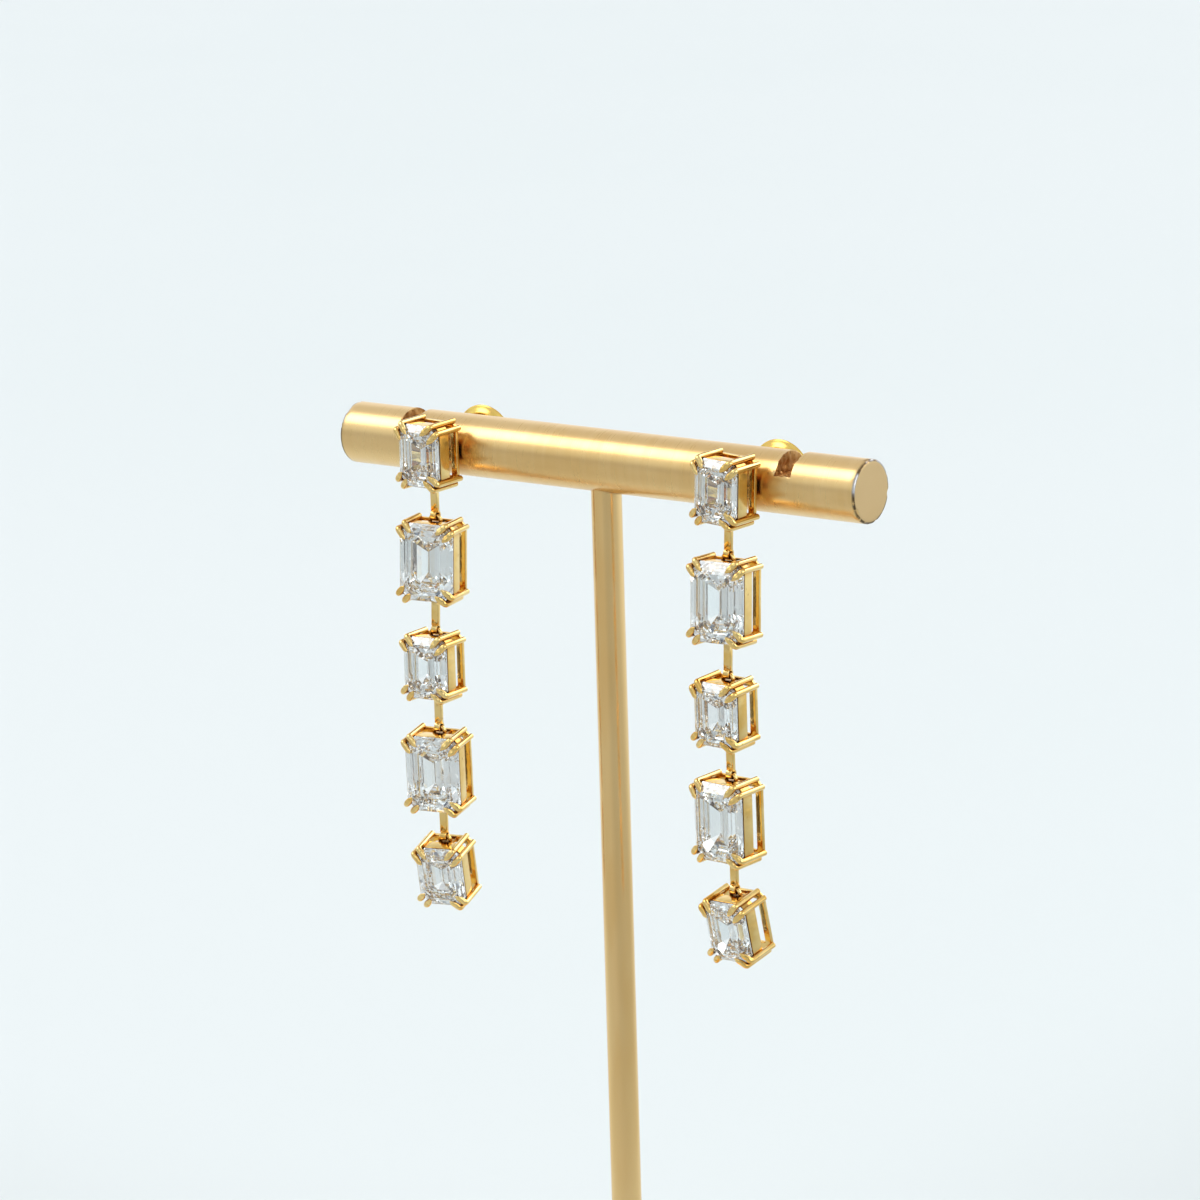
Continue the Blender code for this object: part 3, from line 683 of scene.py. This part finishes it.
def claw_rods(setting):
    """Eight rods, two at each corner. Each runs straight from behind the frame to the girdle, then
    bends in along the corner's diagonal, at the height that clears the crown, and thins to a point."""
    chance = np.random.default_rng(setting.number + 20 * (setting.side == "left"))
    from_corner = (
        setting.corner + ROD_OUTSIDE_EDGE - math.sqrt(2) * (ROD_RADIUS + CAD_STONE_GAP)
    )
    beside = (setting.half_width + ROD_OUTSIDE_EDGE, setting.half_height - from_corner)
    beyond = (setting.half_width - from_corner, setting.half_height + ROD_OUTSIDE_EDGE)
    rods = []
    for x, z in (beside, beyond):
        for across in (1, -1):
            for up in (1, -1):
                reach = CLAW_REACH * chance.uniform(*CLAW_REACH_SPREAD)
                lean = chance.normal(0, CLAW_LEAN_SPREAD, 2)
                inwards = np.array([-across + lean[0], 0.0, -up + lean[1]])
                inwards /= np.linalg.norm(inwards)
                thick = ROD_RADIUS * CLAW_THICKNESS
                height = claw_height(setting, reach * CLAW_SHARE, thick)
                height[:2] *= CLAW_FIRST_RISE
                foot = np.array([across * x, 0.0, up * z])
                path = foot + np.outer(np.maximum(reach * CLAW_SHARE, 0), inwards)
                path[:, 1] -= height
                rear = [[*(foot + [0, ROD_REAR * share, 0])] for share in (1.0, 0.66, 0.33)]
                path = np.concatenate([rear, path])
                size = np.stack([thick, ROD_RADIUS * CLAW_WIDTH], axis=1)
                size = np.concatenate([np.full((3, 2), ROD_RADIUS), size])
                path = softened(np.concatenate([path, size], axis=1))
                rods.append(tube(domed(path), np.cross([0, 1, 0], inwards)))
    return rods


def ring_of(radius, hole, half_thickness, centre):
    """A flat ring round X: a rectangle with rounded corners, turned round the ring's middle."""
    profile = rounded(
        [
            (hole, -half_thickness),
            (radius, -half_thickness),
            (radius, half_thickness),
            (hole, half_thickness),
        ],
        EYE_EDGE,
    )
    rings = lathe(profile, EYE_SIDES)
    return skin(rings[:, :, [2, 0, 1]] + centre, looped=True)


def arch(foot, crown_middle):
    """A wire bow from one foot up, half round its middle, and down to the other foot."""
    turns = np.linspace(0, math.pi, 17)
    path = np.zeros((19, 5))
    path[:, 1] = LINK_BEHIND_GIRDLE
    path[1:-1, 0] = ARCH_RADIUS * np.cos(turns)
    path[1:-1, 2] = crown_middle + ARCH_RADIUS * np.sin(turns)
    path[[0, -1], 0] = ARCH_RADIUS, -ARCH_RADIUS
    path[[0, -1], 2] = foot
    path[:, 3:] = ARCH_WIRE
    return tube(path, (0, 1, 0), ARCH_SIDES)


def post(start):
    """A round post along Y, with a notch turned near its end and a chamfered tip."""
    end = BAR_BEHIND_GIRDLE + 2 * bar_radius + CLUTCH_GAP + CLUTCH_DEPTH
    end += 2 * ROLL_RADIUS + POST_PAST_CLUTCH
    before, into, along, out = (end - inset for inset in POST_NOTCH_FROM_END)
    rows = [(POST_RADIUS, start), (POST_RADIUS, start + 5), (POST_RADIUS, before)]
    rows += [(POST_NOTCH_RADIUS, into), (POST_NOTCH_RADIUS, along), (POST_RADIUS, out)]
    rows += [(POST_RADIUS, end - POST_TIP_LENGTH), (POST_TIP_RADIUS, end)]
    rings = lathe(rows, POST_SIDES)[:, :, [0, 2, 1]]
    return skin(rings + np.array([0, 0, -POST_BELOW_MIDDLE]))


def basket(setting):
    """A basket's skins, in its setting's frame: the profiles of the rail and the frame carried round
    the outline, the rods, and a soldered bridge wherever an arch, a strap or the post is fixed."""
    rail_front = GIRDLE / 2 + RAIL_BEHIND_GIRDLE
    rail_back = rail_front + RAIL_DEPTH
    frame_front = FRAME_BEHIND_GIRDLE[setting.number]
    frame_back = frame_front + FRAME_DEPTH
    run = PAVILION_INWARDS[1] * setting.half_width / (PAVILION_DEEP[1] * setting.pavilion)
    lip = run * RAIL_BEHIND_GIRDLE - CAD_STONE_GAP - RAIL_INSIDE_EDGE + RAIL_LIP_ADDED
    rail = [(0, rail_front), (0, rail_back), (RAIL_WALL, rail_back), (lip, rail_front)]
    hoop = [
        (0, frame_front),
        (0, frame_back),
        (FRAME_WALL, frame_back),
        (FRAME_WALL, frame_front),
    ]
    shapes = [band(setting, rail), band(setting, hoop)]
    shapes += claw_rods(setting)
    edge = setting.half_height - BRIDGE_INSIDE_EDGE
    bridge_front, bridge_back = rail_back - SOLDERED_IN, frame_front + SOLDERED_IN
    if setting.number > 1:
        wide = ARCH_RADIUS + ARCH_WIRE + BRIDGE_SHOULDER
        low = (-wide, bridge_front, edge - BRIDGE_HEIGHT)
        shapes.append(block(low, (wide, bridge_back, edge)))
        crown_middle = setting.half_height + HINGE_ABOVE_STONE - ARCH_RADIUS
        shapes.append(arch(edge - BRIDGE_HEIGHT / 2, crown_middle))
    if setting.number < 5:
        foot = -(setting.half_height + HINGE_BELOW_STONE)
        wide = STRAP_HALF_WIDTH + BRIDGE_SHOULDER
        high = (wide, bridge_back, BRIDGE_HEIGHT - edge)
        shapes.append(block((-wide, bridge_front, -edge), high))
        near, far = LINK_BEHIND_GIRDLE + np.array([-1, 1]) * STRAP_HALF_THICKNESS
        low = (-STRAP_HALF_WIDTH, near, foot + STRAP_ABOVE_HINGE)
        high = (STRAP_HALF_WIDTH, far, -edge + SOLDERED_IN)
        shapes.append(block(low, high, STRAP_EDGE))
        centre = np.array([0, LINK_BEHIND_GIRDLE, foot])
        shapes.append(ring_of(EYE_RADIUS, EYE_HOLE, EYE_HALF_THICKNESS, centre))
    if setting.number == 1:
        half = setting.half_width - FRAME_WALL / 2
        low = (-half, frame_front + SOLDERED_IN, -POST_BELOW_MIDDLE - CROSSPIECE_HALF)
        high = (half, frame_back - CROSSPIECE_SUNK, -POST_BELOW_MIDDLE + CROSSPIECE_HALF)
        shapes.append(block(low, high))
        shapes.append(post(frame_back - FRAME_DEPTH / 2))
    return shapes


gold, gold_shader, place = new_material("polished_gold_basket", Metallic=1.0)
openness = place.openness(CREVICE_REACH)
tarnish = place.noise((420, 420, 420))
file_marks = place.noise((3800, 900, 3800))
ripple = place.noise((1100, 700, 1100), 1.0)
pits = place.noise((2400, 2400, 2400), 2.0).between(0.66, 0.74)
colour = tarnish.between(0.35, 0.7).blend(YELLOW_GOLD, WARM_GOLD)
# Painted shade and reflection: orange where the gold is partly closed in.
colour = openness.between(0.55, 1.0).blend(HOLLOW_SHADE_ORANGE, colour)
# Partly patina, partly painted shade: dark brown in the crevices.
colour = openness.between(0.25, 0.75).blend(CREVICE_PATINA_AND_SHADE, colour)
colour = (pits * 0.4).blend(colour, CREVICE_PATINA_AND_SHADE)
feed(gold_shader, "Base Color", colour)
feed(gold_shader, "Roughness", 0.07 + file_marks * 0.08 + pits * 0.2)
feed(gold_shader, "Normal", bumped(ripple + file_marks * 0.1 - pits * 0.1, 0.45, 0.07))
for setting in settings:
    shapes = [setting.placed(shape) for shape in basket(setting)]
    piece(
        f"setting_{setting.side}_{setting.number}",
        shapes,
        gold,
        setting.body,
        f"{setting.side}_basket_{setting.number}",
    )

# Clutches
# A butterfly clutch of thin gold sheet on each post: a domed disc with a pressed ridge and a pierced
# middle, and two strips behind it that curl in to grip the wire.
DISC_RADIUS = 3.5
DISC_CROWN = 0.4
DISC_CROWN_POWER = 5
DISC_RIDGE = 0.2
RIDGE_AT = 0.8
RIDGE_WIDTH = 0.07
DISC_HOLE_GAP = 0.08
DISC_LIP = 0.04
DISC_FROM_BAR = 0.06
SHEET = 0.16
ROLL_LENGTH = 3.6
ROLL_SUNK = 0.05
STRIP_HALF_THICKNESS = 0.09
CLUTCH_REACH = 0.8
CLUTCH_YELLOW = (0.93, 0.68, 0.16, 1)


def clutch(setting):
    """A clutch's skins, in its setting's frame. The disc is a profile turned round the post: it rises
    as a power of the share of the radius, less a bell-shaped ridge. A strip follows a spiral, whose
    radius shrinks evenly with its turn, and is carried straight across."""
    front = BAR_BEHIND_GIRDLE + 2 * bar_radius + CLUTCH_GAP
    middle = np.array([0, 0, -POST_BELOW_MIDDLE])
    radii = np.linspace(POST_RADIUS + DISC_HOLE_GAP, DISC_RADIUS - DISC_LIP, 40)
    share = radii / DISC_RADIUS
    ridge = DISC_RIDGE * np.exp(-(((share - RIDGE_AT) / RIDGE_WIDTH) ** 2))
    sunk = DISC_CROWN * share**DISC_CROWN_POWER - ridge
    near = np.stack([radii, front + DISC_FROM_BAR + sunk], axis=1)
    lip = [near[-1] + [DISC_LIP, SHEET / 2]]
    far = near[::-1] + [0, SHEET]
    disc = lathe(np.concatenate([near, lip, far]), 96)[:, :, [0, 2, 1]]
    shapes = [skin(disc + middle, looped=True)]
    back = front + DISC_FROM_BAR + SHEET
    for up in (1, -1):
        turns = np.linspace(-0.5 * math.pi, 1.9 * math.pi, 46)
        curl = np.linspace(ROLL_RADIUS, 0.5 * ROLL_RADIUS, 46)
        depth = back + ROLL_RADIUS - ROLL_SUNK - curl * np.cos(turns + 0.5 * math.pi)
        height = up * (POST_RADIUS + ROLL_RADIUS + curl * np.sin(turns + 0.5 * math.pi))
        line = np.stack([depth, height], axis=1)
        along = np.gradient(line, axis=0)
        along /= np.linalg.norm(along, axis=1, keepdims=True)
        side = np.stack([-along[:, 1], along[:, 0]], axis=1) * STRIP_HALF_THICKNESS
        rings = []
        for x, thick in ((-1, 0.6), (-0.98, 1), (0.98, 1), (1, 0.6)):
            outline = np.concatenate([line + side * thick, (line - side * thick)[::-1]])
            rings.append(np.insert(outline, 0, x * ROLL_LENGTH / 2, axis=1))
        shapes.append(skin(np.array(rings) + middle))
    return shapes


sheet_gold, sheet_shader, place = new_material("clutch_gold_sheet", Metallic=1.0)
tarnish = place.noise((500, 500, 500))
rolled = place.noise((500, 4000, 4000))
colour = tarnish.between(0.35, 0.7).blend(CLUTCH_YELLOW, WARM_GOLD)
# Painted shade, with some patina: the sheet darkens to dark brown in its hollows and where it meets
# other parts.
in_open = place.openness(CLUTCH_REACH).between(0.4, 0.95)
feed(sheet_shader, "Base Color", in_open.blend(CREVICE_PATINA_AND_SHADE, colour))
feed(sheet_shader, "Roughness", 0.14 + rolled * 0.12)
feed(sheet_shader, "Normal", bumped(rolled, 0.2, 0.02))
for setting in settings:
    if setting.number == 1:
        piece(
            f"clutch_{setting.side}_sheet",
            [setting.placed(shape) for shape in clutch(setting)],
            sheet_gold,
            "stand_and_studs",
            f"{setting.side}_clutch",
        )

# Studio floor
# A plain sweep of matt board, nearly white behind, with shade painted on it in grey in front
# and to the right. The stem and the straps mirror it.
FLOOR_HALF = 6.0
BOARD_WHITE = (0.77, 0.82, 0.83, 1.0)
BOARD_WHITER = (0.785, 0.83, 0.84, 1.0)
FRONT_SHADE_GREY = (0.54, 0.55, 0.54, 1.0)
RIGHT_SHADE_GREY = (0.41, 0.43, 0.43, 1.0)
board, board_shader, place = new_material("pale_board", Roughness=0.8)
mottle = place.noise((3, 3, 3))
board_side, board_depth, _ = place.axes()
white = mottle.between(0.3, 0.7).blend(BOARD_WHITE, BOARD_WHITER)
# Painted shade: the board is grey in front.
colour = board_depth.between(-0.13, 0.06).blend(FRONT_SHADE_GREY, white)
# Painted shade: a grey patch to the right, towards the front.
right_shade = board_side.between(-0.04, 0.16) * (1.0 - board_depth.between(0.1, 0.4))
feed(board_shader, "Base Color", (right_shade * 0.9).blend(colour, RIGHT_SHADE_GREY))
floor_mesh = bpy.data.meshes.new("floor")
corners = np.array([(-1, -1, 0), (1, -1, 0), (1, 1, 0), (-1, 1, 0)]) * FLOOR_HALF
floor_mesh.from_pydata(corners.tolist(), [], [[0, 1, 2, 3]])
floor_mesh.materials.append(board)
floor = bpy.data.objects.new("floor", floor_mesh)
bpy.context.scene.collection.objects.link(floor)

# Light
# A soft box above and to the left, a bright strip and a dark curtain beside it behind the stand, and
# a pale room in front, with the camera's dark place in it. The metal and the stones mirror these.
scene = bpy.context.scene
world = bpy.data.worlds.new("studio")
scene.world = world
world.use_nodes = True
BOX_WAY = (-0.574, -0.36, 0.736)
CAMERA_WAY = (0.574, -0.786, 0.231)
CURTAIN_WAY = (-0.3, 0.79, 0.53)
STRIP_WAY = (0.3, 0.79, 0.54)
FRONT_LEFT = (0.86, 0.93, 0.95, 1)
FRONT_RIGHT = (1.5, 1.62, 1.68, 1)
LOW_LEFT = (0.5, 0.52, 0.54, 1)
LOW_RIGHT = (1.2, 1.28, 1.34, 1)
BEHIND = (1.08, 1.11, 1.13, 1)
OVERHEAD = (0.72, 0.74, 0.76, 1)
CURTAIN = (0.2, 0.17, 0.18, 1)
STRIP = (3.3, 3.25, 3.15, 1)
BOX = (3.6, 3.6, 3.528, 1)
CAMERA_DARK = (0.06, 0.09, 0.15, 1)
direction = Signal(world.node_tree).make("TexCoord", {}, {}, "Generated")
side_way, depth_way, height_way = direction.axes()


def towards(way, inner, outer):
    """One within the inner angle of a way, in degrees, and nought beyond the outer angle. The way's
    dot product with the direction is the cosine of the angle between them."""
    inputs = {0: direction, 1: way}
    cosine = direction.make("VectorMath", {"operation": "DOT_PRODUCT"}, inputs, 1)
    return cosine.between(math.cos(math.radians(outer)), math.cos(math.radians(inner)))


rightwards = side_way.between(-0.2, 0.35)
low = 1.0 - height_way.between(0.1, 0.35)
front = low.blend(rightwards.blend(FRONT_LEFT, FRONT_RIGHT), rightwards.blend(LOW_LEFT, LOW_RIGHT))
room = depth_way.between(-0.3, 0.45).blend(front, BEHIND)
room = height_way.between(0.4, 0.65).blend(room, OVERHEAD)
room = (towards(CURTAIN_WAY, 11, 18) * 0.8).blend(room, CURTAIN)
room = towards(STRIP_WAY, 14, 20).blend(room, STRIP)
room = towards(BOX_WAY, 11, 19).blend(room, BOX)
room = towards(CAMERA_WAY, 11, 16).blend(room, CAMERA_DARK)
feed(world.node_tree.nodes["Background"], "Color", room)


def soft_box(name, place, aim, size, power, colour=(1.0, 1.0, 1.0)):
    """A rectangular light at a place that faces its aim, in metres and watts."""
    lamp = bpy.data.lights.new(name, "AREA")
    lamp.shape = "RECTANGLE"
    lamp.size, lamp.size_y = size
    lamp.energy = power
    lamp.color = colour
    thing = bpy.data.objects.new(name, lamp)
    back = np.array(place, float) - np.array(aim, float)
    back /= np.linalg.norm(back)
    right = np.cross([0.0, 0.0, 1.0] if abs(back[2]) < 0.99 else [0.0, 1.0, 0.0], back)
    right /= np.linalg.norm(right)
    turn = np.identity(4)
    turn[:3, 0], turn[:3, 1], turn[:3, 2], turn[:3, 3] = right, np.cross(back, right), back, place
    thing.matrix_world = Matrix(turn.tolist())
    scene.collection.objects.link(thing)


soft_box("right_side", (0.9, -0.1, 0.45), (0, 0, 0.08), (0.3, 0.5), 1.2, (1.0, 0.97, 0.92))

# Camera
# Where the photo was taken from: it was fitted to the bar, the stem and the stones.
CAMERA_AZIMUTH = math.radians(36.12)
CAMERA_ELEVATION = math.radians(13.35)
CAMERA_ROLL = math.radians(-1.67)
CAMERA_DISTANCE = 445.93
CAMERA_AIM = (-0.518, -13.233)
LENS = 141.06
back = np.array(
    [
        math.sin(CAMERA_AZIMUTH) * math.cos(CAMERA_ELEVATION),
        -math.cos(CAMERA_AZIMUTH) * math.cos(CAMERA_ELEVATION),
        math.sin(CAMERA_ELEVATION),
    ]
)
level = np.array([math.cos(CAMERA_AZIMUTH), math.sin(CAMERA_AZIMUTH), 0.0])
lifted = np.cross(back, level)
right = math.cos(CAMERA_ROLL) * level + math.sin(CAMERA_ROLL) * lifted
up = math.cos(CAMERA_ROLL) * lifted - math.sin(CAMERA_ROLL) * level
aim = np.array([0.0, 0.0, bar_height]) + CAMERA_AIM[0] * right + CAMERA_AIM[1] * up
pose = np.identity(4)
pose[:3, 0], pose[:3, 1], pose[:3, 2] = right, up, back
pose[:3, 3] = (aim + CAMERA_DISTANCE * back) * MM
lens = bpy.data.cameras.new("camera")
lens.lens = LENS
lens.sensor_width = 36.0
lens.clip_start = 0.01
camera = bpy.data.objects.new("camera", lens)
camera.matrix_world = Matrix(pose.tolist())
scene.collection.objects.link(camera)
scene.camera = camera

# Look
# A plain tone curve, as the photo's near-white background has, and enough bounces for the stones.
scene.view_settings.view_transform = "Standard"
scene.cycles.max_bounces = 64
scene.cycles.transmission_bounces = 64
scene.cycles.glossy_bounces = 64
scene.cycles.sample_clamp_indirect = 8.0
